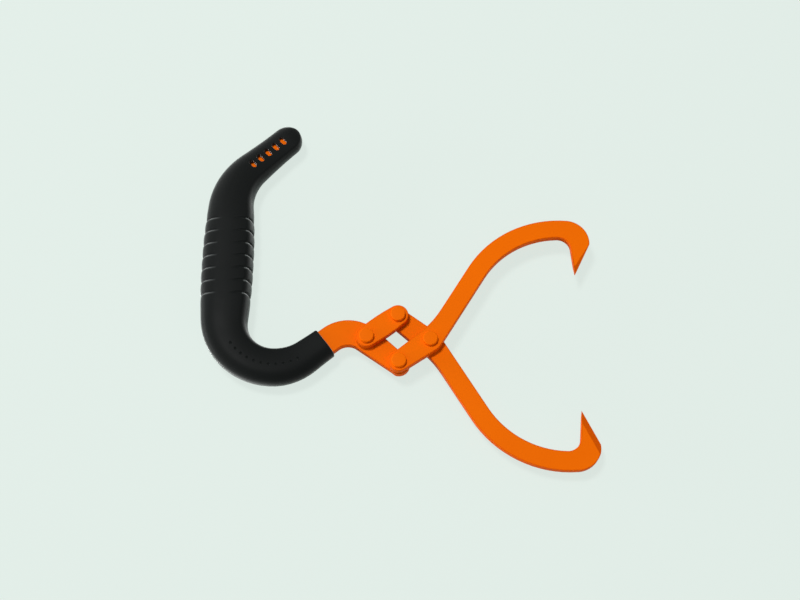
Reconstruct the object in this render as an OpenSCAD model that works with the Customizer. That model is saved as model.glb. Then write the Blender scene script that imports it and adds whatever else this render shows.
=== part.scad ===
// Log tongs: two steel hook arms, a short link and a bent handle bar, joined by four
// rivets into a parallelogram, with a C-shaped grip moulded over the handle bar.
// The tongs lie flat. X runs along their centre line towards the hooks, and the straight
// run of the grip crosses the origin along Y, with its flat underside on z = 0.

/* [Steel plates] */
// Thickness of each flat steel piece
plate_t = 6; // [4:0.1:8]
// Running gap between the lower and the upper layer of plates
layer_gap = 0.15; // [0.1:0.05:0.4]

/* [Linkage] */
// Distance between the two rivets of the link
link_pitch = 29; // [28:0.5:34]
// Distance between the two rivets of the handle bar
crank_pitch = 31; // [30:0.5:36]
// Angle between the link and the centre line as the tongs lie
link_angle = 35.9; // [33:0.1:40]
// Angle between the end of the handle bar and the centre line
crank_angle = 38.8; // [36:0.1:42]
// Radius of the link's round ends
link_end_r = 7.9; // [6.5:0.1:8.5]
// Half width of the link in the middle, where it swells
link_mid_r = 8.7; // [8.6:0.1:9.5]

/* [Hook arms] */
// Width of each arm's shank and bow
arm_w = 14.5; // [12:0.1:16]
// Radius of each arm's inner end
arm_end_r = 7.7; // [6.5:0.1:8.5]
// Half width of each arm where it turns at the centre rivet
elbow_r = 9.1; // [8.6:0.1:10]
// Angle between each shank and the centre line
shank_angle = 58.3; // [54:0.1:62]
// How far each shank's middle line passes the centre rivet on the jaw side
shank_offset = 1.7; // [0:0.1:3]
// Radius of the hollow corner between each arm's inner end and its shank
elbow_fillet_r = 75; // [10:1:80]
// Length of each straight shank
shank_l = 65.8; // [50:0.1:80]
// Radius of each bow along its middle line
bow_r = 75.3; // [60:0.1:90]
// Turn of each bow's outer edge
bow_angle = 62.6; // [58:0.1:66]
// Outer radius of the bend above the point
point_r = 18.4; // [15:0.1:22]
// Turn of the outer edge above the point
point_angle = 90.5; // [80:0.5:95]
// Radius of the inner bend above the point
throat_r = 9.9; // [6:0.1:12]
// Turn of each bow's inner edge
throat_angle = 57; // [54:0.1:60]
// Length of the ground outer flat of the point
flat_l = 28.3; // [22:0.1:30]
// Angle between the ground flat and the centre line
flat_angle = 63.8; // [56:0.1:66]
// Width of the bevel ground on one face along the whole flat
bevel_w = 4.7; // [1:0.1:6]
// Width at the tip of the bevel on the other face, which narrows to nothing along the flat
tip_bevel_w = 3.3; // [1:0.1:5]

/* [Handle bar] */
// Width of the handle bar
bar_w = 20; // [16:0.1:21]
// Width of the handle bar beside its end rivet
crank_w = 15.6; // [14:0.1:17]
// Radius of the handle bar's inner end
crank_end_r = 8.3; // [7.9:0.1:9]
// Angle between the neck of the handle bar and the centre line
neck_slope = 37.5; // [34:0.1:42]
// Radius of the bend between the neck and the link rivet
neck_r = 21.2; // [17:0.1:26]
// Straight length between that bend and the link rivet
link_rivet_run = 0.8; // [0.2:0.1:6]
// Bare straight length between the grip's mouth and that bend
neck_run = 5.3; // [2:0.1:20]

/* [Grip] */
// Straight length of bar inside the mouth of the grip
mouth_run = 18.5; // [12:0.1:30]
// Radius of the lower bend of the grip
low_bend_r = 38.7; // [34:0.1:46]
// Length of the straight run that the hand holds
hold_l = 93; // [85:0.5:120]
// Radius of the upper bend of the grip
top_bend_r = 49; // [40:0.1:60]
// Slope of the grip's end above the centre line
end_slope = 43.5; // [35:0.5:55]
// Straight length between the upper bend and the centre of the round end
end_run = 36.6; // [32:0.1:50]
// Width of the round end
end_w = 24.4; // [24:0.1:28]
// Widest part of the hold
hold_w = 39.6; // [34:0.1:44]
// Width of the lower bend
low_w = 28.4; // [26:0.1:32]
// Width of the mouth
mouth_w = 24.2; // [23:0.1:27]
// Thickness of the hold
hold_t = 24; // [20:0.5:28]
// Thickness of the round end
end_t = 12.5; // [12:0.5:18]
// Thickness of the mouth
mouth_t = 14; // [11:0.5:18]
// How far the rounded sides of the hold reach in from its edge
hold_side = 9; // [6:0.1:11]
// How far the rounded sides reach in at the round end and the mouth
end_side = 3.8; // [2:0.1:5]
// Clearance between the grip and the bar inside it
grip_gap = 0.1; // [0.05:0.05:0.3]
// Plastic left beyond the end of the bar
end_wall = 3.2; // [2:0.1:6]
// Length of the hold at full thickness, flat underneath, that the tongs rest on
rest_l = 60; // [30:1:80]
// Length at full width on each side of the middle of the hold
hold_flat = 7; // [0:0.5:20]
// Radius of the rounded edge at the mouth
mouth_round = 1.2; // [0.5:0.1:2]

/* [Grip ribs and slots] */
// Number of grooves across each side of the hold
groove_n = 7; // [3:1:9]
// Spacing of the grooves
groove_pitch = 10.4; // [9:0.1:12]
// Depth of each groove at the side
groove_d = 1.7; // [0.5:0.1:2.5]
// Width of each groove
groove_w = 3.2; // [2:0.1:5]
// How far the middle groove lies above the middle of the hold
groove_shift = 2.7; // [0:0.1:8]
// Number of slots that show the bar in the grip's end
slot_n = 5; // [3:1:6]
// Width of each slot
slot_w = 3.8; // [2.5:0.1:5]
// Length of each slot, across the bar
slot_l = 7.6; // [6:0.1:12]
// Spacing of the slots
slot_pitch = 7.8; // [7:0.1:8]
// Distance from the centre of the round end to the first slot
slot_start = 4; // [2:0.5:8]

/* [Rivets] */
// Diameter of each rivet's shank
rivet_d = 7; // [5:0.1:8]
// Diameter of each rivet's head
head_d = 10.9; // [9.5:0.1:12]
// Height of each head
head_h = 3.2; // [2:0.1:4]
// Diameter of the closed tail under the plates
tail_d = 10; // [9:0.1:11]
// Height of the closed tail
tail_h = 2.4; // [1.5:0.1:3]
// Radius of the rounded rim on head and tail
rim_r = 0.6; // [0.3:0.1:1]
// Radial clearance round a shank where a plate turns on it
turn_gap = 0.08; // [0.05:0.01:0.1]
// Radial clearance round a shank where a plate is held by it
hold_gap = 0.02; // [0.01:0.01:0.03]
// Gap between a plate and a rivet's head or tail
seat_gap = 0.08; // [0.05:0.01:0.15]

/* [Hidden] */
steel_paint = [0.92, 0.41, 0.02];
grip_black = [0.13, 0.14, 0.14];
// Facets of drilled holes and rivets, degrees per facet of other bends, and how far cuts run on
$fn = 64;
arc_step = 4;
cut_over = 1;
// Grip rings: facets from a ring's side to its top, spacing along the bar, rings on the round end
side_steps = 5;
ring_step = 6;
cap_steps = 6;
// Angles on the round end's cap at its first ring, and between rings on the mouth's rounded edge
cap_last_a = 84;
mouth_step_a = 30;
// How slowly the thickness falls at the cap, and the most of a ring's half width that is rounded
cap_swell = 0.35;
side_limit = 0.9;
// How far along the lower bend the grip reaches that bend's width
low_share = 0.7;

// Plane geometry: directions in degrees, points as [x, y]
function dir(a) = [cos(a), sin(a)];
function left(a) = [-sin(a), cos(a)];
function arc(c, r, a0, a1) =
    let (n = max(1, ceil(abs(a1 - a0) / arc_step)))
    [for (i = [0 : n]) c + r * dir(a0 + (a1 - a0) * i / n)];
function fillet(corner, a, b, r) =
    let (side = sign(b - a), start = corner - r * tan(abs(b - a) / 2) * dir(a))
    arc(start + side * r * left(a), r, a - side * 90, b - side * 90);
function meet(p, a, q, b) =
    let (gap = q - p, d = dir(a), e = dir(b))
    p + d * (gap[0] * e[1] - gap[1] * e[0]) / (d[0] * e[1] - d[1] * e[0]);
function smooth(f) = let (g = min(1, max(0, f))) g * g * (3 - 2 * g);
function blend(a, b, f) = a + (b - a) * smooth(f);

// A path is a list of straights and bends, and a pose on it is [x, y, heading]
function straight(l) = [l, 0, 0];
function bend(r, turn) = [r * abs(turn) * PI / 180, r, turn];
function advance(pose, seg, run) =
    let (at = [pose[0], pose[1]])
    seg[2] == 0 ? concat(at + run * dir(pose[2]), pose[2])
    : let (side = sign(seg[2]), heading = pose[2] + seg[2] * run / seg[0])
      concat(at + side * seg[1] * (left(pose[2]) - left(heading)), heading);
function walk(pose, segs, run, i = 0) =
    run <= segs[i][0] || i == len(segs) - 1 ? advance(pose, segs[i], run)
    : walk(advance(pose, segs[i], segs[i][0]), segs, run - segs[i][0], i + 1);
function run_to(segs, i) = i == 0 ? 0 : segs[i - 1][0] + run_to(segs, i - 1);
function steps(seg) = seg[2] == 0 ? 1 : ceil(abs(seg[2]) / arc_step);
function stations(segs) = [
    for (i = [0 : len(segs) - 1], k = [0 : steps(segs[i]) - 1])
        run_to(segs, i) + segs[i][0] * k / steps(segs[i])];

// The bar's middle line, from the centre of the grip's round end to the end rivet
bar_path = [straight(end_run), bend(top_bend_r, 90 - end_slope), straight(hold_l),
    bend(low_bend_r, 90 + neck_slope), straight(mouth_run + neck_run),
    bend(neck_r, -(neck_slope + crank_angle)), straight(link_rivet_run + crank_pitch)];
hold_start = run_to(bar_path, 2);
hold_mid = hold_start + hold_l / 2;
low_mid = run_to(bar_path, 3) + bar_path[3][0] * low_share;
mouth_at = run_to(bar_path, 4) + mouth_run;
crank_start = run_to(bar_path, 6);
bar_end = run_to(bar_path, 7);
from_end = walk([0, 0, 180 + end_slope], bar_path, hold_mid);
path_start = [-from_end[0], -from_end[1], 180 + end_slope];
function pose_at(run) = walk(path_start, bar_path, run);
function along(run, side = 0) =
    let (p = pose_at(run)) [p[0], p[1]] + side * left(p[2]);

// Rivet centres
crank_rivet_at = along(bar_end);
link_rivet_at = along(bar_end - crank_pitch);
top_rivet_at = link_rivet_at + link_pitch * dir(link_angle);
centre_rivet_at = crank_rivet_at + link_pitch * dir(link_angle);

// Heights
bar_z = (hold_t - plate_t) / 2;
upper_z = bar_z + plate_t + layer_gap;
stack_t = 2 * plate_t + layer_gap;

// Handle bar, with its width drawn in from the neck bend to the end rivet
tip_cap_r = bar_w / 2;
tip_centre_run = end_wall + tip_cap_r - end_w / 2;
function bar_half(run) = run < crank_start ? bar_w / 2
    : bar_w / 2 + (crank_w - bar_w) / 2 * (run - crank_start) / (bar_end - crank_start);
module bar_outline(grow) {
    tip = pose_at(tip_centre_run);
    end = pose_at(bar_end);
    end_a = asin(crank_w / 2 / crank_end_r);
    runs = concat(tip_centre_run, [for (s = stations(bar_path)) if (s > tip_centre_run) s],
        bar_end);
    polygon(concat(
        [for (s = runs) along(s, bar_half(s) + grow)],
        arc([end[0], end[1]], crank_end_r + grow, end[2] + end_a, end[2] - end_a),
        [for (i = [len(runs) - 1 : -1 : 0]) along(runs[i], -bar_half(runs[i]) - grow)],
        arc([tip[0], tip[1]], tip_cap_r + grow, tip[2] - 90, tip[2] - 270)));
}

module rivet_hole(at, gap, z) {
    translate([at[0], at[1], z - cut_over])
        cylinder(r = rivet_d / 2 + gap, h = plate_t + 2 * cut_over);
}

module handle_bar() {
    color(steel_paint) difference() {
        translate([0, 0, bar_z]) linear_extrude(plate_t) bar_outline(0);
        rivet_hole(link_rivet_at, hold_gap, bar_z);
        rivet_hole(crank_rivet_at, hold_gap, bar_z);
    }
}

// Link: round ends joined by two slightly swelling sides
module link_outline() {
    rise = link_mid_r - link_end_r;
    side_r = (pow(link_pitch / 2, 2) / rise + link_mid_r + link_end_r) / 2;
    lean = asin(link_pitch / 2 / (side_r - link_end_r));
    mid = [link_pitch / 2, 0];
    polygon(concat(
        arc([0, 0], link_end_r, 270 - lean, 90 + lean),
        arc(mid - [0, side_r - link_mid_r], side_r, 90 + lean, 90 - lean),
        arc([link_pitch, 0], link_end_r, 90 - lean, lean - 90),
        arc(mid + [0, side_r - link_mid_r], side_r, lean - 90, -90 - lean)));
}

module link() {
    color(steel_paint) difference() {
        translate([link_rivet_at[0], link_rivet_at[1], upper_z]) rotate([0, 0, link_angle])
            linear_extrude(plate_t) link_outline();
        rivet_hole(link_rivet_at, turn_gap, upper_z);
        rivet_hole(top_rivet_at, hold_gap, upper_z);
    }
}

// Hook arm as a flat blank: centre rivet at the origin, hook towards +X and +Y
bow_start_a = shank_angle + 90;
bow_centre = shank_l * dir(shank_angle) - (shank_offset + bow_r) * left(shank_angle);
point_a = bow_start_a - bow_angle;
point_centre = bow_centre + (bow_r + arm_w / 2 - point_r) * dir(point_a);
flat_corner = point_centre + point_r * dir(point_a - point_angle);
point_tip = flat_corner - flat_l * dir(flat_angle);
throat_a = bow_start_a - throat_angle;
throat_centre = bow_centre + (bow_r - arm_w / 2 - throat_r) * dir(throat_a);
tip_reach = point_tip - throat_centre;
inner_flat_a = atan2(tip_reach[1], tip_reach[0]) + acos(throat_r / norm(tip_reach));

module arm_outline(pitch, inner_a) {
    taper = asin((elbow_r - arm_end_r) / pitch);
    pivot = -pitch * dir(inner_a);
    outer = meet(elbow_r * left(inner_a + taper), inner_a + taper,
        (arm_w / 2 - shank_offset) * left(shank_angle), shank_angle);
    inner = meet(-elbow_r * left(inner_a - taper), inner_a - taper,
        -(arm_w / 2 + shank_offset) * left(shank_angle), shank_angle);
    polygon(concat(
        fillet(outer, inner_a + taper, shank_angle, elbow_fillet_r),
        arc(bow_centre, bow_r + arm_w / 2, bow_start_a, point_a),
        arc(point_centre, point_r, point_a, point_a - point_angle),
        [point_tip],
        arc(throat_centre, throat_r, inner_flat_a, throat_a),
        arc(bow_centre, bow_r - arm_w / 2, throat_a, bow_start_a),
        fillet(inner, shank_angle + 180, inner_a - taper + 180, arm_w / 2),
        arc(pivot, arm_end_r, inner_a - taper - 90, inner_a + taper - 270)));
}

// Wedge ground off the upper face by the outer flat of the point, along a line through the
// flat's corner that leans inwards by a turn: the wedge starts inset in from that line, and
// reaches half the plate's thickness a run beyond its start
module ground_off(turn, inset, run) {
    run_on = 4 * bevel_w;
    rise = plate_t / 2;
    translate([flat_corner[0], flat_corner[1], 0]) rotate([0, 0, flat_angle + 180 - turn])
        translate([-run_on, -inset, 0]) rotate([90, 0, 90]) linear_extrude(flat_l + 2 * run_on)
            polygon([[2 * run, 0], [2 * run, 3 * rise], [-run, 3 * rise]]);
}

// The blank lies with the wide bevel underneath. The two arms are the same way round at the
// point, but one is turned over, so that their points mirror each other
module arm_blank(pitch, inner_a) {
    lean = asin(tip_bevel_w / flat_l);
    difference() {
        linear_extrude(plate_t) arm_outline(pitch, inner_a);
        ground_off(lean, 0, tip_bevel_w);
        translate([0, 0, plate_t]) mirror([0, 0, 1]) ground_off(0, bevel_w, bevel_w);
    }
}

module upper_hook_arm() {
    color(steel_paint) difference() {
        translate([centre_rivet_at[0], centre_rivet_at[1], upper_z])
            arm_blank(link_pitch, link_angle);
        rivet_hole(crank_rivet_at, turn_gap, upper_z);
        rivet_hole(centre_rivet_at, hold_gap, upper_z);
    }
}

module lower_hook_arm() {
    color(steel_paint) difference() {
        translate([centre_rivet_at[0], centre_rivet_at[1], bar_z + plate_t])
            rotate([180, 0, 0]) arm_blank(crank_pitch, crank_angle);
        rivet_hole(top_rivet_at, turn_gap, bar_z);
        rivet_hole(centre_rivet_at, turn_gap, bar_z);
    }
}

// Rivet through both layers, with a flat round head above and a closed tail below
module rivet(at) {
    head_z = stack_t + seat_gap;
    color(steel_paint) translate([at[0], at[1], bar_z]) rotate_extrude()
        polygon(concat(
            [[0, -seat_gap - tail_h]],
            arc([tail_d / 2 - rim_r, rim_r - seat_gap - tail_h], rim_r, 270, 360),
            [[tail_d / 2, -seat_gap], [rivet_d / 2, -seat_gap], [rivet_d / 2, head_z],
                [head_d / 2, head_z]],
            arc([head_d / 2 - rim_r, head_z + head_h - rim_r], rim_r, 0, 90),
            [[0, head_z + head_h]]));
}

module link_rivet() { rivet(link_rivet_at); }
module crank_rivet() { rivet(crank_rivet_at); }
module centre_rivet() { rivet(centre_rivet_at); }
module top_rivet() { rivet(top_rivet_at); }

// Grip: a ring of points at each station along the bar, widest and thickest at the hold
end_r = end_w / 2;
function hold_share(run) = run < hold_mid
    ? smooth(run / (hold_mid - rest_l / 2))
    : 1 - smooth((run - hold_mid - rest_l / 2) / (mouth_at - hold_mid - rest_l / 2));
function plain_half_w(run) = run < hold_mid
    ? blend(end_w, hold_w, run / (hold_mid - hold_flat)) / 2
    : run < low_mid ? blend(hold_w, low_w, (run - hold_mid - hold_flat)
        / (low_mid - hold_mid - hold_flat)) / 2
    : blend(low_w, mouth_w, (run - low_mid) / (mouth_at - low_mid)) / 2;
function cap_share(run) = run < 0 ? sqrt(max(0, 1 - pow(run / end_r, 2))) : 1;
function mouth_inset(run) = let (past = run - mouth_at + mouth_round)
    past < 0 ? 0 : mouth_round - sqrt(max(0, mouth_round * mouth_round - past * past));
function half_w(run) = plain_half_w(run) * cap_share(run) - mouth_inset(run);
function half_t(run) = let (least = run < hold_mid ? end_t : mouth_t)
    (least + (hold_t - least) * hold_share(run)) / 2 * pow(cap_share(run), cap_swell)
    - mouth_inset(run);
function side_reach(run) =
    min(end_side + (hold_side - end_side) * hold_share(run), side_limit * half_w(run));

groove_mid = hold_mid - groove_shift;
groove_span = (groove_n - 1) * groove_pitch;
function groove_run(i) = groove_mid - groove_span / 2 + i * groove_pitch;
ribs_from = groove_run(0) - groove_w;
ribs_to = groove_run(groove_n - 1) + groove_w;
function spread(a, b) = let (n = ceil((b - a) / ring_step)) [for (i = [0 : n]) a + (b - a) * i / n];

// Each ring is [run, depth of its groove]
rings = concat(
    [for (a = [cap_last_a : -cap_last_a / cap_steps : 0]) [-end_r * sin(a), 0]],
    [for (s = spread(ring_step, ribs_from)) [s, 0]],
    [for (i = [0 : groove_n - 1], k = [-1 : 2]) [groove_run(i)
        + (k == 2 ? groove_pitch / 2 : k * groove_w / 2), k == 0 ? groove_d : 0]],
    [for (s = spread(ribs_to + ring_step / 2, mouth_at - mouth_round)) [s, 0]],
    [for (a = [mouth_step_a : mouth_step_a : 90]) [mouth_at - mouth_round * (1 - sin(a)), 0]]);

function ring_points(ring) =
    let (flat = half_w(ring[0]) - side_reach(ring[0]), reach = side_reach(ring[0]) - ring[1],
        top = half_t(ring[0]))
    [for (side = [1, -1], k = [-side_steps : side_steps])
        let (a = 90 * k / side_steps, at = along(ring[0], side * (flat + reach * cos(a))))
        [at[0], at[1], hold_t / 2 + side * top * sin(a)]];

module grip_body() {
    ring_n = 4 * side_steps + 2;
    last = len(rings) - 1;
    polyhedron(
        points = [for (r = rings) each ring_points(r)],
        faces = concat(
            [for (i = [1 : ring_n - 2]) [0, i, i + 1]],
            [for (i = [1 : ring_n - 2]) [last * ring_n, last * ring_n + i + 1, last * ring_n + i]],
            [for (r = [0 : last - 1], i = [0 : ring_n - 1], k = [0, 1])
                let (j = (i + 1) % ring_n, a = r * ring_n, b = a + ring_n)
                k == 0 ? [a + i, b + i, b + j] : [a + i, b + j, a + j]]));
}

// Slot with round ends, across the bar at a place on its middle line
module slot_cut(run) {
    heading = pose_at(run)[2];
    round_at = (slot_l - slot_w) / 2;
    for (side = [-1, 1]) {
        at = along(run, side * round_at);
        translate([at[0], at[1], bar_z + plate_t / 2])
            cylinder(d = slot_w, h = hold_t);
    }
    mid = along(run);
    translate([mid[0], mid[1], bar_z + (plate_t + hold_t) / 2]) rotate([0, 0, heading])
        cube([slot_w, 2 * round_at, hold_t], center = true);
}

module grip() {
    color(grip_black) difference() {
        grip_body();
        translate([0, 0, bar_z - grip_gap]) linear_extrude(plate_t + 2 * grip_gap)
            bar_outline(grip_gap);
        for (i = [0 : slot_n - 1])
            slot_cut(slot_start + i * slot_pitch);
    }
}

grip();
handle_bar();
link();
upper_hook_arm();
lower_hook_arm();
link_rivet();
crank_rivet();
centre_rivet();
top_rivet();
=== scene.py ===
"""Looks of the log tongs, in metres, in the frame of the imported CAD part.

Every plate, rivet and the grip is made again here with soft rims and finer forms, and stands
for the CAD node of the same place. The tongs lie in the XY plane, with Z up along the rivets.
"""

import math

import bmesh
import bpy
from mathutils import Matrix, Vector


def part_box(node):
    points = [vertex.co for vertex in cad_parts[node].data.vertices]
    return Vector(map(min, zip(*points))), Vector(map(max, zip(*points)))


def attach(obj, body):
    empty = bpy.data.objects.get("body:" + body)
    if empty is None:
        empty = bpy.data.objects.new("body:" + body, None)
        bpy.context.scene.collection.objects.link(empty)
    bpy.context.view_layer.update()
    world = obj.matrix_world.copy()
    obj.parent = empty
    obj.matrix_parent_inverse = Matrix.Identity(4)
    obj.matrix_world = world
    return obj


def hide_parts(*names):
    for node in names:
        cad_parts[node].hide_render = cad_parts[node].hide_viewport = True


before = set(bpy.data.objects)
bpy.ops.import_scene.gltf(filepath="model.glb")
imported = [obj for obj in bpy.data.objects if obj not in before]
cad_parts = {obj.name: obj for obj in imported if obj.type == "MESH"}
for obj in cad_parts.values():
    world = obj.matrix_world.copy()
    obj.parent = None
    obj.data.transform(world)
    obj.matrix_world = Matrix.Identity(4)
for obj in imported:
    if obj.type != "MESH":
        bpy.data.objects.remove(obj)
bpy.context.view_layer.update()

MM = 0.001
# Points nearer to each other than this are welded
MERGE = 0.0015 * MM

# Plates: name of the piece, CAD node, body that it rides on
PLATES = (("handle_bar_plate", "handle_bar", "handle"),
          ("link_plate", "link", "link"),
          ("upper_arm_plate", "upper_hook_arm", "upper_arm"),
          ("lower_arm_plate", "lower_hook_arm", "lower_arm"))
# Rivets: CAD node, body that it rides on
RIVETS = (("link_rivet", "handle"), ("crank_rivet", "handle"), ("centre_rivet", "upper_arm"),
          ("top_rivet", "link"))

ORANGE_FACE = (0.840, 0.142, 0.0010, 1)
# Darker orange on rims and side walls: thinner paint on the rims, and painted shade on the side
# walls
ORANGE_THIN_AND_SHADED = (0.700, 0.096, 0.0008, 1)
ORANGE_BLOTCH = (0.780, 0.122, 0.0008, 1)
PLASTIC_BLACK = (0.0040, 0.0048, 0.0048, 1)
PLASTIC_RUBBED = (0.0060, 0.0067, 0.0066, 1)
# Pale grey painted highlight on the grooves' lips, where light catches them
PLASTIC_LIP_HIGHLIGHT = (0.1100, 0.1180, 0.1180, 1)
MINT = (0.760, 0.846, 0.800, 1)

# Paint: noise scales of its blotches and orange peel, the depth and share of the peel's bump,
# how far the blotches go towards their own colour, and the roughness from face to blotch
PAINT_BLOTCHES = 26.0
PAINT_PEEL = 1100.0
PAINT_PEEL_H = 0.06 * MM
PAINT_BUMP = 0.35
PAINT_BLOTCH_SHARE = 0.35
PAINT_ROUGHNESS = (0.34, 0.44)
PAINT_SPECULAR = 0.01

# Plastic: the same for its worn patches and its spark-eroded grain
PLASTIC_PATCHES = 22.0
PLASTIC_GRAIN = 1800.0
PLASTIC_GRAIN_H = 0.05 * MM
PLASTIC_BUMP = 0.25
PLASTIC_PATCH_SHARE = 0.6
PLASTIC_ROUGHNESS = (0.42, 0.35)
PLASTIC_SPECULAR = 0.02
PLASTIC_SHEEN = 0.65
PLASTIC_SHEEN_ROUGHNESS = 0.40

BLOTCH_DETAIL = 4.0
BLOTCH_RANGE = (0.35, 0.65)
GRAIN_DETAIL = 3.0
GRAIN_ROUGHNESS = 0.6


def add(tree, kind, inputs=None, **settings):
    """A new node, with its settings and with each input set to a value or linked from a socket."""
    node = tree.nodes.new(kind)
    for key, value in settings.items():
        setattr(node, key, value)
    for key, value in (inputs or {}).items():
        if isinstance(value, bpy.types.NodeSocket):
            tree.links.new(value, node.inputs[key])
        else:
            node.inputs[key].default_value = value
    return node


def blotch_and_grain():
    """The group that both finishes share: wide soft blotches, and the fine grain of the skin."""
    tree = bpy.data.node_groups.new("blotch_and_grain", "ShaderNodeTree")
    for name in ("Blotch Scale", "Grain Scale"):
        tree.interface.new_socket(name, in_out="INPUT", socket_type="NodeSocketFloat")
    for name in ("Blotch", "Grain"):
        tree.interface.new_socket(name, in_out="OUTPUT", socket_type="NodeSocketFloat")
    given = tree.nodes.new("NodeGroupInput")
    result = tree.nodes.new("NodeGroupOutput")
    place = add(tree, "ShaderNodeTexCoord").outputs["Object"]
    blotch = add(tree, "ShaderNodeTexNoise", {
        "Vector": place, "Scale": given.outputs["Blotch Scale"], "Detail": BLOTCH_DETAIL})
    spread = add(tree, "ShaderNodeMapRange", {
        "Value": blotch.outputs["Fac"], "From Min": BLOTCH_RANGE[0], "From Max": BLOTCH_RANGE[1]})
    grain = add(tree, "ShaderNodeTexNoise", {
        "Vector": place, "Scale": given.outputs["Grain Scale"], "Detail": GRAIN_DETAIL,
        "Roughness": GRAIN_ROUGHNESS})
    tree.links.new(spread.outputs["Result"], result.inputs["Blotch"])
    tree.links.new(grain.outputs["Fac"], result.inputs["Grain"])
    return tree


def skin(tree, group, blotch_scale, grain_scale):
    """The shared group, placed in a material with its own scales."""
    return add(tree, "ShaderNodeGroup", {"Blotch Scale": blotch_scale, "Grain Scale": grain_scale},
               node_tree=group)


def new_finish(name):
    finish = bpy.data.materials.new(name)
    finish.use_nodes = True
    return finish, finish.node_tree, finish.node_tree.nodes["Principled BSDF"]


def mixed(tree, share, a, b):
    """A colour between a and b by share, each a colour or a socket."""
    node = add(tree, "ShaderNodeMix", data_type="RGBA")
    tree.links.new(share, node.inputs["Factor"])
    for socket, value in (("A", a), ("B", b)):
        target = [s for s in node.inputs if s.name == socket and s.type == "RGBA"][0]
        if isinstance(value, bpy.types.NodeSocket):
            tree.links.new(value, target)
        else:
            target.default_value = value
    return [s for s in node.outputs if s.type == "RGBA"][0]


def ranged(tree, value, low, high):
    """value from 0 to 1, stretched to run from low to high."""
    return add(tree, "ShaderNodeMapRange", {
        "Value": value, "To Min": low, "To Max": high}).outputs["Result"]


def bumped(tree, height, distance, strength):
    return add(tree, "ShaderNodeBump", {
        "Height": height, "Distance": distance, "Strength": strength}).outputs["Normal"]


def orange_paint(group):
    """Stoved paint on steel: fine orange peel, thinner and deeper in colour along the rims, with
    painted shade in the same darker orange over the side walls.
    """
    finish, tree, shader = new_finish("orange_paint")
    film = skin(tree, group, PAINT_BLOTCHES, PAINT_PEEL)
    blotch, peel = film.outputs["Blotch"], film.outputs["Grain"]
    rim = add(tree, "ShaderNodeAttribute", attribute_name="rim").outputs["Fac"]
    face = mixed(tree, ranged(tree, blotch, 0.0, PAINT_BLOTCH_SHARE), ORANGE_FACE, ORANGE_BLOTCH)
    # The darker orange on the rims and walls is thinner paint and painted shade
    tree.links.new(mixed(tree, rim, face, ORANGE_THIN_AND_SHADED), shader.inputs["Base Color"])
    tree.links.new(ranged(tree, blotch, *PAINT_ROUGHNESS), shader.inputs["Roughness"])
    tree.links.new(bumped(tree, peel, PAINT_PEEL_H, PAINT_BUMP), shader.inputs["Normal"])
    shader.inputs["Specular IOR Level"].default_value = PAINT_SPECULAR
    return finish


def moulded_plastic(group):
    """Black moulded plastic with a fine spark-eroded grain, and a pale grey painted highlight on
    the grooves' lips.
    """
    finish, tree, shader = new_finish("moulded_plastic")
    face = skin(tree, group, PLASTIC_PATCHES, PLASTIC_GRAIN)
    patch, grain = face.outputs["Blotch"], face.outputs["Grain"]
    lip = add(tree, "ShaderNodeAttribute", attribute_name="lip").outputs["Fac"]
    black = mixed(tree, ranged(tree, patch, 0.0, PLASTIC_PATCH_SHARE),
                  PLASTIC_BLACK, PLASTIC_RUBBED)
    # Pale grey on the lips is painted highlight
    tree.links.new(mixed(tree, lip, black, PLASTIC_LIP_HIGHLIGHT), shader.inputs["Base Color"])
    tree.links.new(ranged(tree, patch, *PLASTIC_ROUGHNESS), shader.inputs["Roughness"])
    tree.links.new(bumped(tree, grain, PLASTIC_GRAIN_H, PLASTIC_BUMP), shader.inputs["Normal"])
    shader.inputs["Specular IOR Level"].default_value = PLASTIC_SPECULAR
    shader.inputs["Sheen Weight"].default_value = PLASTIC_SHEEN
    shader.inputs["Sheen Roughness"].default_value = PLASTIC_SHEEN_ROUGHNESS
    return finish


# Edges that turn by more than this stay sharp
SOFT_ANGLE = math.radians(38)


def finished(name, bm, finish, body, node):
    """Turns the bmesh into a piece that rides on a body and stands for a CAD node."""
    mesh = bpy.data.meshes.new(name)
    bm.to_mesh(mesh)
    bm.free()
    mesh.shade_smooth()
    mesh.set_sharp_from_angle(angle=SOFT_ANGLE)
    mesh.materials.append(finish)
    piece = bpy.data.objects.new(name, mesh)
    bpy.context.scene.collection.objects.link(piece)
    even = piece.modifiers.new("flat_faces_stay_flat", "WEIGHTED_NORMAL")
    even.keep_sharp = True
    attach(piece, body)
    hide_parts(node)


# Steel plates: pressed blanks whose rims are rounded before they are painted. LEVEL is the least
# upward share of a face's direction that counts as level.
RIM_R = 0.45 * MM
RIM_STEPS = 3
RIM_FADE = 0.4 * MM
LEVEL = 0.999
SQUARE_EDGE = math.radians(60)
FLAT_ENOUGH = math.radians(1)


def is_level(face):
    return abs(face.normal.z) > LEVEL


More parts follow.
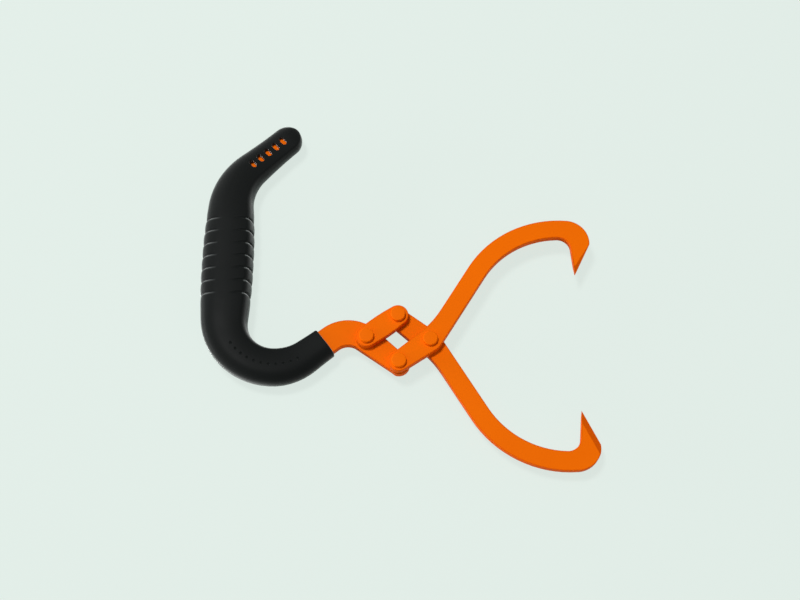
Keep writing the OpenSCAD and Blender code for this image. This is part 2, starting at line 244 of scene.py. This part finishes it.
def soft_plate(name, node, body, finish):
    """A plate from its CAD node, with rounded rims, and a ring round each face where paint thins.
    The rims and side walls take a darker orange: thinner paint on the rims, painted shade on the
    walls.
    """
    bm = bmesh.new()
    bm.from_mesh(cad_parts[node].data)
    bmesh.ops.remove_doubles(bm, verts=bm.verts, dist=MERGE)
    bmesh.ops.dissolve_limit(bm, angle_limit=FLAT_ENOUGH, verts=bm.verts, edges=bm.edges)
    rims = [e for e in bm.edges if len(e.link_faces) == 2
            and is_level(e.link_faces[0]) != is_level(e.link_faces[1])
            and e.calc_face_angle() > SQUARE_EDGE]
    bmesh.ops.bevel(bm, geom=rims, offset=RIM_R, offset_type="OFFSET", segments=RIM_STEPS,
                    profile=0.5, affect="EDGES", clamp_overlap=False, material=-1)
    bm.normal_update()
    faces = [f for f in bm.faces if is_level(f)]
    bmesh.ops.inset_region(bm, faces=faces, thickness=RIM_FADE, use_even_offset=True,
                           use_boundary=True)
    # rim marks the rounded rims, the side walls and a thin ring on each face: thinner paint there,
    # and painted shade on the walls
    rim = bm.verts.layers.float.new("rim")
    for v in bm.verts:
        v[rim] = 1.0
    for f in faces:
        for v in f.verts:
            v[rim] = 0.0
    finished(name, bm, finish, body, node)


# Rivets: a low round head with a soft rim, a shank, and a closed tail below. The head's rim and
# side take a share of the darker rim orange: partly thinner paint, partly painted shade.
HEAD_H = 3.2 * MM
HEAD_RIM = 0.55 * MM
HEAD_THIN_AND_SHADED = 0.15
TAIL_R = 5.0 * MM
TAIL_H = 2.4 * MM
TAIL_RIM = 0.9 * MM
SHANK_R = 3.5 * MM
CROWN_H = 0.12 * MM
TURN_STEPS = 56
ROUND_STEPS = 6


def quarter_turn():
    """Angles that step through a quarter of a turn, both ends included."""
    return [math.pi / 2 * i / ROUND_STEPS for i in range(ROUND_STEPS + 1)]


def round_rim(full_r, rim, z_flat, way):
    """(Radius, height) points round a rim, from the flat of a head or tail out to its side."""
    return [(full_r - rim + rim * math.sin(a), z_flat - way * rim * (1 - math.cos(a)))
            for a in quarter_turn()]


def rivet(name, node, body, finish):
    low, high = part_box(node)
    centre = (low + high) / 2
    head_r = (high.x - low.x) / 2
    under_head = high.z - HEAD_H
    over_tail = low.z + TAIL_H
    head = round_rim(head_r, HEAD_RIM, high.z - CROWN_H, 1)
    tail = round_rim(TAIL_R, TAIL_RIM, low.z + CROWN_H, -1)
    profile = ([(0, high.z), (head_r - HEAD_RIM - RIM_FADE, high.z - CROWN_H)] + head
               + [(head_r, under_head), (SHANK_R, under_head), (SHANK_R, over_tail),
                  (TAIL_R, over_tail)] + tail[::-1] + [(0, low.z)])
    bm = bmesh.new()
    verts = [bm.verts.new((centre.x + r, centre.y, z)) for r, z in profile]
    edges = [bm.edges.new(pair) for pair in zip(verts, verts[1:])]
    bmesh.ops.spin(bm, geom=verts + edges, cent=(centre.x, centre.y, 0), axis=(0, 0, 1),
                   angle=2 * math.pi, steps=TURN_STEPS, use_merge=True)
    bmesh.ops.remove_doubles(bm, verts=bm.verts, dist=MERGE)
    bmesh.ops.recalc_face_normals(bm, faces=bm.faces)
    rim = bm.verts.layers.float.new("rim")
    for v in bm.verts:
        away = math.hypot(v.co.x - centre.x, v.co.y - centre.y)
        # Darker rim orange on the head's rim and side: thinner paint and painted shade
        v[rim] = HEAD_THIN_AND_SHADED if away > head_r - HEAD_RIM else 0.0
    finished(name, bm, finish, body, node)


# Grip: a ring of points at each place along the bar's middle line, from the round end
# to the mouth. These sizes are the part's own.
END_RUN = 36.6 * MM
TOP_BEND_R = 49 * MM
HOLD_L = 93 * MM
LOW_BEND_R = 38.7 * MM
MOUTH_RUN = 18.5 * MM
END_SLOPE = math.radians(43.5)
NECK_SLOPE = math.radians(37.5)
END_W = 24.4 * MM
HOLD_W = 39.6 * MM
LOW_W = 28.4 * MM
MOUTH_W = 24.2 * MM
HOLD_T = 24 * MM
END_T = 12.5 * MM
MOUTH_T = 14 * MM
HOLD_SIDE = 9 * MM
END_SIDE = 3.8 * MM
REST_L = 60 * MM
HOLD_FLAT = 7 * MM
MOUTH_ROUND = 1.2 * MM

# Shares that shape the rings: where the lower bend is narrowest, how the round end thins, the
# widest that a rounded side may be, the reach and fall of the side under the fingers, and the
# roundness of the outer side
LOW_SHARE = 0.7
CAP_SWELL = 0.35
SIDE_LIMIT = 0.9
INNER_SHARE = 0.6
INNER_FALL = 0.07
OUTER_POWER = 2 / 2.7

GROOVE_N = 7
GROOVE_PITCH = 10.4 * MM
GROOVE_D = 1.6 * MM
GROOVE_SHIFT = 2.7 * MM
GROOVE_REACH = 13 * MM
GROOVE_FADE = 1.3
RIB_SWELL = 0.45 * MM
RIB_PLACES = (0.3, 0.5, 0.7)
# Across a groove: place in mm, share of its depth, share of the pale grey painted highlight on its
# lower lip
GROOVE_SHAPE = ((-1.1, 0.0, 0), (-0.7, 0.14, 0), (-0.4, 0.55, 0), (-0.15, 0.95, 0),
                (0.05, 1.0, 0), (0.3, 0.86, 0.8), (1.0, 0.32, 1), (1.5, 0.08, 0.3), (2.1, 0.0, 0))

TOP_TURN = math.pi / 2 - END_SLOPE
LOW_TURN = math.pi / 2 + NECK_SLOPE
TOP_BEND_L = TOP_BEND_R * TOP_TURN
LOW_BEND_L = LOW_BEND_R * LOW_TURN
# Stretches of the middle line: length, and angle that it turns by
MIDDLE_LINE = ((END_RUN, 0), (TOP_BEND_L, TOP_TURN), (HOLD_L, 0), (LOW_BEND_L, LOW_TURN),
               (MOUTH_RUN, 0))
HOLD_MID = END_RUN + TOP_BEND_L + HOLD_L / 2
LOW_START = END_RUN + TOP_BEND_L + HOLD_L
LOW_MID = LOW_START + LOW_BEND_L * LOW_SHARE
MOUTH_AT = LOW_START + LOW_BEND_L + MOUTH_RUN
GROOVE_MID = HOLD_MID - GROOVE_SHIFT
GROOVES_HALF = (GROOVE_N - 1) / 2

OUTER_STEPS = 14
FACE_STEPS = 5
CREASE_STEPS = 8
HALF_RING = OUTER_STEPS + FACE_STEPS + CREASE_STEPS
RING_N = 2 * HALF_RING
RING_STEP = 4 * MM
CAP_STEPS = 9
CAP_LAST = math.radians(85)
MOUTH_STEPS = 4


def heading(angle):
    return Vector((math.cos(angle), math.sin(angle)))


def walked(run):
    """Place and heading on the middle line, from a start at the origin."""
    place, angle, rest = Vector((0, 0)), math.pi + END_SLOPE, run
    for length, turn in MIDDLE_LINE:
        step = min(rest, length)
        if turn:
            radius, turned = length / turn, turn * step / length
            place += radius * (heading(angle - math.pi / 2 + turned) - heading(angle - math.pi / 2))
            angle += turned
        else:
            place += step * heading(angle)
        rest -= step
        if rest <= 0:
            break
    return place, angle


def middle(run):
    """The same, placed so that the middle of the hold is at the frame's origin."""
    place, angle = walked(run)
    return place - walked(HOLD_MID)[0], angle


def smooth(share):
    s = min(1.0, max(0.0, share))
    return s * s * (3 - 2 * s)


def between(a, b, share):
    """From a to b, with a soft start and a soft end."""
    return a + (b - a) * smooth(share)


def hold_share(run):
    """How far the section is the hold's own: 1 along the hold, 0 at both of the grip's ends."""
    if run < HOLD_MID:
        return smooth(run / (HOLD_MID - REST_L / 2))
    return 1 - smooth((run - HOLD_MID - REST_L / 2) / (MOUTH_AT - HOLD_MID - REST_L / 2))


def plain_width(run):
    """Width over both sides, before the round end and the mouth's soft edge are taken off."""
    if run < HOLD_MID:
        return between(END_W, HOLD_W, run / (HOLD_MID - HOLD_FLAT))
    if run < LOW_MID:
        past_flat = run - HOLD_MID - HOLD_FLAT
        return between(HOLD_W, LOW_W, past_flat / (LOW_MID - HOLD_MID - HOLD_FLAT))
    return between(LOW_W, MOUTH_W, (run - LOW_MID) / (MOUTH_AT - LOW_MID))


def cap_share(run):
    """Share of the full width in the round end, which lies before the line's start."""
    return math.sqrt(max(0.0, 1 - (2 * run / END_W) ** 2)) if run < 0 else 1.0


def mouth_inset(run):
    """How far the mouth's soft edge stands in."""
    past = run - MOUTH_AT + MOUTH_ROUND
    return 0.0 if past < 0 else MOUTH_ROUND - math.sqrt(max(0.0, MOUTH_ROUND ** 2 - past ** 2))


def rib_inset(run):
    """How far the side stands in: most at each groove, and nothing on the crest of each rib."""
    place = (run - GROOVE_MID) / GROOVE_PITCH + GROOVES_HALF
    if not 0 <= place <= GROOVE_N - 1:
        return RIB_SWELL * max(0.0, 1 - abs(place - min(GROOVE_N - 1, max(0, place))) * 2)
    return RIB_SWELL * (1 - math.sin(math.pi * (place % 1)))


def ring_sizes(run):
    """Half width, half thickness and reach of the rounded side at a place on the line."""
    wide = plain_width(run) / 2 * cap_share(run) - mouth_inset(run)
    least = END_T if run < HOLD_MID else MOUTH_T
    thick = (least + (HOLD_T - least) * hold_share(run)) / 2 * cap_share(run) ** CAP_SWELL
    side = min(END_SIDE + (HOLD_SIDE - END_SIDE) * hold_share(run), SIDE_LIMIT * wide)
    return wide, thick - mouth_inset(run), side


def grip_top(run):
    """Height of the grip's upper face over the middle line."""
    return HOLD_T / 2 + ring_sizes(run)[1]


def upper_point(k, wide, thick, side):
    """One point over the top of a ring, from the outer side to the side under the fingers:
    across the bar and up from its middle. The outer half rolls over softly, and the inner half
    ends in a crease with a flank below it."""
    if k < OUTER_STEPS:
        a = math.pi / 2 * (1 - k / OUTER_STEPS)
        return -wide * math.sin(a) ** OUTER_POWER, thick * math.cos(a) ** OUTER_POWER
    crease = wide - INNER_SHARE * side
    fall = INNER_FALL * thick
    if k <= OUTER_STEPS + FACE_STEPS:
        share = (k - OUTER_STEPS) / FACE_STEPS
        return crease * share, thick - fall * share * share
    a = math.pi / 2 * (k - OUTER_STEPS - FACE_STEPS) / CREASE_STEPS
    return crease + INNER_SHARE * side * math.sin(a), (thick - fall) * math.cos(a)


def ring_point(index, wide, thick, side, groove):
    """A point of a whole ring, pressed in by a groove of that depth towards its sides."""
    above = index <= HALF_RING
    across, height = upper_point(index if above else RING_N - index, wide, thick, side)
    fade = max(0.0, 1 - (wide - abs(across)) / GROOVE_REACH) ** GROOVE_FADE
    inward = Vector((across / wide ** 2, height / thick ** 2)).normalized() * groove * fade
    return across - inward.x, (height - inward.y) * (1 if above else -1)


def lip_highlight_share(across, wide, side):
    """How much of the painted highlight a groove's lip takes: on its outer part and on the flank,
    not on the face.
    """
    if across > wide - INNER_SHARE * side:
        return 1.0
    return max(0.0, 1 - (wide + across) / GROOVE_REACH)


def groove_run(i, share=0.0):
    """Place on the line of groove i, or of a place between it and the next one."""
    return GROOVE_MID + (i - GROOVES_HALF + share) * GROOVE_PITCH


def stations():
    """Each place with a ring, with the shares there of a groove's depth and of the painted
    highlight on its lip.
    """
    caps = [-END_W / 2 * math.sin(CAP_LAST * (1 - i / CAP_STEPS)) for i in range(CAP_STEPS)]
    grooves = [(groove_run(i) + at * MM, depth, lip)
               for i in range(GROOVE_N) for at, depth, lip in GROOVE_SHAPE]
    ribs = [groove_run(i, share) for i in range(-1, GROOVE_N) for share in RIB_PLACES]
    first, last = min(ribs), max(ribs)
    first_n = int(first / RING_STEP)
    before = [first * i / first_n for i in range(first_n)]
    low_end = MOUTH_AT - MOUTH_ROUND
    low_n = int((low_end - last) / RING_STEP)
    after = [last + (low_end - last) * (i + 1) / low_n for i in range(low_n)]
    mouth = [low_end + MOUTH_ROUND * math.sin(math.pi / 2 * (i + 1) / MOUTH_STEPS)
             for i in range(MOUTH_STEPS)]
    plain = [(run, 0.0, 0.0) for run in caps + before + ribs + after + mouth]
    return sorted(plain + grooves)


# The slot in the mouth that the bar leaves by
SLOT_W = 20.4 * MM
SLOT_T = 6.4 * MM
SLOT_DEPTH = 4 * MM


def slot_point(across, height):
    """The point of the slot's outline in the same direction from its middle."""
    scale = min(SLOT_W / 2 / max(abs(across), MERGE), SLOT_T / 2 / max(abs(height), MERGE))
    return across * scale, height * scale


def place_ring(verts, order, run, points):
    at, angle = middle(run)
    across_way = heading(angle + math.pi / 2)
    for v in verts:
        across, height = points[v[order]]
        spot = at + across * across_way
        v.co = (spot.x, spot.y, HOLD_T / 2 + height)


def next_ring(bm, edges):
    """The points and edges of a copy of an open ring, joined to it by faces."""
    made = bmesh.ops.extrude_edge_only(bm, edges=edges)["geom"]
    return ([g for g in made if isinstance(g, bmesh.types.BMVert)],
            [g for g in made if isinstance(g, bmesh.types.BMEdge)])


def grip_shell():
    """The grip's skin, closed at the round end and turned in round the bar at its mouth."""
    bm = bmesh.new()
    order = bm.verts.layers.int.new("order")
    lip_highlight = bm.verts.layers.float.new("lip")
    verts = bmesh.ops.create_circle(bm, segments=RING_N, radius=END_W / 2)["verts"]
    for index, v in enumerate(verts):
        v[order] = index
    edges = list(bm.edges)
    bmesh.ops.contextual_create(bm, geom=edges)
    for step, (run, depth, lip) in enumerate(stations()):
        if step:
            verts, edges = next_ring(bm, edges)
        wide, thick, side = ring_sizes(run)
        wide, side = wide - rib_inset(run), side - rib_inset(run)
        points = [ring_point(i, wide, thick, side, GROOVE_D * depth) for i in range(RING_N)]
        place_ring(verts, order, run, points)
        for v in verts:
            # The lips' painted highlight, on their outer part and on the flank
            v[lip_highlight] = lip * lip_highlight_share(points[v[order]][0], wide, side)
    slot = [slot_point(*p) for p in points]
    for run in (MOUTH_AT, MOUTH_AT - SLOT_DEPTH):
        verts, edges = next_ring(bm, edges)
        place_ring(verts, order, run, slot)
    bmesh.ops.contextual_create(bm, geom=edges)
    bmesh.ops.recalc_face_normals(bm, faces=bm.faces)
    return bm


# Windows through the skin of the grip's end, down to the bar, and a row of small dimples
# round the lower bend
WINDOW_N = 5
WINDOW_R = 1.9 * MM
WINDOW_L = 7.6 * MM
WINDOW_PITCH = 7.8 * MM
WINDOW_START = 4 * MM
WINDOW_LIP = 0.5 * MM
WINDOW_BELOW = 0.5 * MM
CUTTER_OVER = 3 * MM
PLUG_STEPS = 32
DIMPLE_N = 11
DIMPLE_FROM = math.radians(36)
DIMPLE_TO = math.radians(119)
DIMPLE_BALL_R = 1.8 * MM
DIMPLE_D = 0.5 * MM
DIMPLE_FINENESS = 3


def window_cutter(bm, order, run):
    """A long round-ended plug that flares where it leaves the skin, so that the edge is rounded."""
    at, angle = middle(run)
    along, across = heading(angle), heading(angle + math.pi / 2)
    top = grip_top(run)
    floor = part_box("handle_bar")[1].z - WINDOW_BELOW
    levels = [(WINDOW_R, floor)] + [
        (WINDOW_R + WINDOW_LIP * (1 - math.cos(a)), top - WINDOW_LIP * (1 - math.sin(a)))
        for a in quarter_turn()]
    levels.append((WINDOW_R + WINDOW_LIP, top + CUTTER_OVER))
    before = set(bm.edges)
    verts = bmesh.ops.create_circle(bm, segments=PLUG_STEPS, radius=WINDOW_R)["verts"]
    for index, v in enumerate(verts):
        v[order] = index
    edges = [e for e in bm.edges if e not in before]
    bmesh.ops.contextual_create(bm, geom=edges)
    for step, (radius, z) in enumerate(levels):
        if step:
            verts, edges = next_ring(bm, edges)
        for v in verts:
            turn = heading(2 * math.pi * (v[order] + 0.5) / PLUG_STEPS)
            stretch = math.copysign(WINDOW_L / 2 - WINDOW_R, turn.y)
            spot = at + radius * turn.x * along + (radius * turn.y + stretch) * across
            v.co = (spot.x, spot.y, z)
    bmesh.ops.contextual_create(bm, geom=edges)


def dimple_cutter(bm, run):
    at = middle(run)[0]
    place = Matrix.Translation((at.x, at.y, grip_top(run) + DIMPLE_BALL_R - DIMPLE_D))
    bmesh.ops.create_icosphere(bm, subdivisions=DIMPLE_FINENESS, radius=DIMPLE_BALL_R,
                               matrix=place)


def cutters():
    bm = bmesh.new()
    order = bm.verts.layers.int.new("order")
    for i in range(WINDOW_N):
        window_cutter(bm, order, WINDOW_START + i * WINDOW_PITCH)
    for i in range(DIMPLE_N):
        turn = DIMPLE_FROM + (DIMPLE_TO - DIMPLE_FROM) * i / (DIMPLE_N - 1)
        dimple_cutter(bm, LOW_START + LOW_BEND_R * turn)
    bmesh.ops.recalc_face_normals(bm, faces=bm.faces)
    return bm


def plain_object(name, bm):
    mesh = bpy.data.meshes.new(name)
    bm.to_mesh(mesh)
    bm.free()
    made = bpy.data.objects.new(name, mesh)
    bpy.context.scene.collection.objects.link(made)
    return made


def cut_away(body_bm, tool_bm):
    """body_bm less tool_bm, as a new bmesh."""
    block, tool = plain_object("uncut_grip", body_bm), plain_object("cutters", tool_bm)
    cut = block.modifiers.new("cut", "BOOLEAN")
    cut.operation, cut.solver, cut.object = "DIFFERENCE", "EXACT", tool
    bpy.context.view_layer.update()
    left = bmesh.new()
    left.from_object(block, bpy.context.evaluated_depsgraph_get())
    for done in (block, tool):
        bpy.data.objects.remove(done)
    return left


def grip(finish):
    """The skin less its windows and dimples. Stray painted highlight that the cut leaves beyond the
    grooves is cleared."""
    bm = cut_away(grip_shell(), cutters())
    bmesh.ops.remove_doubles(bm, verts=bm.verts, dist=MERGE)
    lip_highlight = bm.verts.layers.float["lip"]
    for v in bm.verts:
        if abs(v.co.y - GROOVE_SHIFT) > GROOVE_N / 2 * GROOVE_PITCH:
            v[lip_highlight] = 0.0
    finished("grip_moulding", bm, finish, "handle", "grip")


# The photo's view: 22 degrees off straight down, aimed at AIM from VIEW_FAR away
AIM = Vector((133.02, -32.06, 15.0)) * MM
VIEW_FAR = 868.6 * MM
VIEW_TILT = math.radians(22)
LENS = 51.43
SENSOR = 36.0
CLIP_NEAR = 0.02
CLIP_FAR = 50

# Lamps: name, way from the tongs to it, distance, width and height, power
LAMPS = (("key_box", (-0.28, 0.22, 1.0), 3.0, (0.6, 0.6), 67.0),
         ("left_strip", (-1.0, 0.0, 0.07), 2.6, (1.6, 0.5), 68.0),
         ("right_strip", (0.62, -0.78, 0.16), 2.6, (0.8, 0.4), 9.0))
AMBIENT = 0.33
BACKGROUND = 1.0

# The floor shows FLOOR_LIT of the light on it out to FLOOR_LIT_TO, and none from FLOOR_PLAIN_FROM
FLOOR_SIZE = 8.0
FLOOR_GAP = 0.2 * MM
FLOOR_ROUGHNESS = 0.9
FLOOR_LIT = 0.12
FLOOR_LIT_TO = 0.5
FLOOR_PLAIN_FROM = 1.2


def camera():
    lens = bpy.data.cameras.new("camera")
    lens.lens, lens.sensor_width, lens.sensor_fit = LENS, SENSOR, "HORIZONTAL"
    lens.clip_start, lens.clip_end = CLIP_NEAR, CLIP_FAR
    made = bpy.data.objects.new("camera", lens)
    bpy.context.scene.collection.objects.link(made)
    made.location = AIM + VIEW_FAR * Vector((0, -math.sin(VIEW_TILT), math.cos(VIEW_TILT)))
    made.rotation_euler = (VIEW_TILT, 0, 0)
    bpy.context.scene.camera = made


def lamp(name, way, far, size, power):
    """A soft box that stands far away in the direction way and faces the tongs."""
    light = bpy.data.lights.new(name, "AREA")
    light.shape, light.size, light.size_y = "RECTANGLE", size[0], size[1]
    light.energy = power
    made = bpy.data.objects.new(name, light)
    bpy.context.scene.collection.objects.link(made)
    out = Vector(way).normalized()
    made.location = AIM + far * out
    made.rotation_euler = out.to_track_quat("Z", "Y").to_euler()


def shows_background(tree):
    """1 for rays from the camera, a mirror surface or glass, which see the plain background."""
    path = add(tree, "ShaderNodeLightPath")
    two = add(tree, "ShaderNodeMath", {0: path.outputs["Is Camera Ray"],
                                       1: path.outputs["Is Glossy Ray"]}, operation="MAXIMUM")
    return add(tree, "ShaderNodeMath", {0: two.outputs[0],
                                        1: path.outputs["Is Transmission Ray"]},
               operation="MAXIMUM").outputs[0]


def floor():
    """A plain pale floor. To the camera it is mostly its own even colour, and keeps the shadow
    round the tongs. Further out it is all its own colour, as the background is."""
    bm = bmesh.new()
    bmesh.ops.create_grid(bm, x_segments=1, y_segments=1, size=FLOOR_SIZE / 2,
                          matrix=Matrix.Translation((0, 0, -FLOOR_GAP)))
    made = plain_object("floor", bm)
    paper, tree, shader = new_finish("pale_paper")
    shader.inputs["Base Color"].default_value = MINT
    shader.inputs["Roughness"].default_value = FLOOR_ROUGHNESS
    glow = add(tree, "ShaderNodeEmission", {"Color": MINT, "Strength": BACKGROUND})
    place = add(tree, "ShaderNodeTexCoord").outputs["Object"]
    away = add(tree, "ShaderNodeVectorMath", {0: place}, operation="LENGTH").outputs["Value"]
    even = add(tree, "ShaderNodeMapRange", {
        "Value": away, "From Min": FLOOR_LIT_TO, "From Max": FLOOR_PLAIN_FROM,
        "To Min": 1 - FLOOR_LIT, "To Max": 1.0}, interpolation_type="SMOOTHSTEP")
    seen = add(tree, "ShaderNodeMath", {0: shows_background(tree), 1: even.outputs["Result"]},
               operation="MULTIPLY")
    both = add(tree, "ShaderNodeMixShader", {0: seen.outputs[0], 1: shader.outputs[0],
                                             2: glow.outputs[0]})
    tree.links.new(both.outputs[0], tree.nodes["Material Output"].inputs["Surface"])
    made.data.materials.append(paper)


def surroundings():
    world = bpy.data.worlds.new("studio")
    world.use_nodes = True
    bpy.context.scene.world = world
    tree = world.node_tree
    back = tree.nodes["Background"]
    back.inputs["Color"].default_value = MINT
    strength = ranged(tree, shows_background(tree), AMBIENT, BACKGROUND)
    tree.links.new(strength, back.inputs["Strength"])


def studio():
    camera()
    floor()
    surroundings()
    for each in LAMPS:
        lamp(*each)
    bpy.context.scene.view_settings.view_transform = "Standard"


def tongs():
    group = blotch_and_grain()
    paint, plastic = orange_paint(group), moulded_plastic(group)
    grip(plastic)
    for name, node, body in PLATES:
        soft_plate(name, node, body, paint)
    for node, body in RIVETS:
        rivet(node + "_painted", node, body, paint)


tongs()
studio()
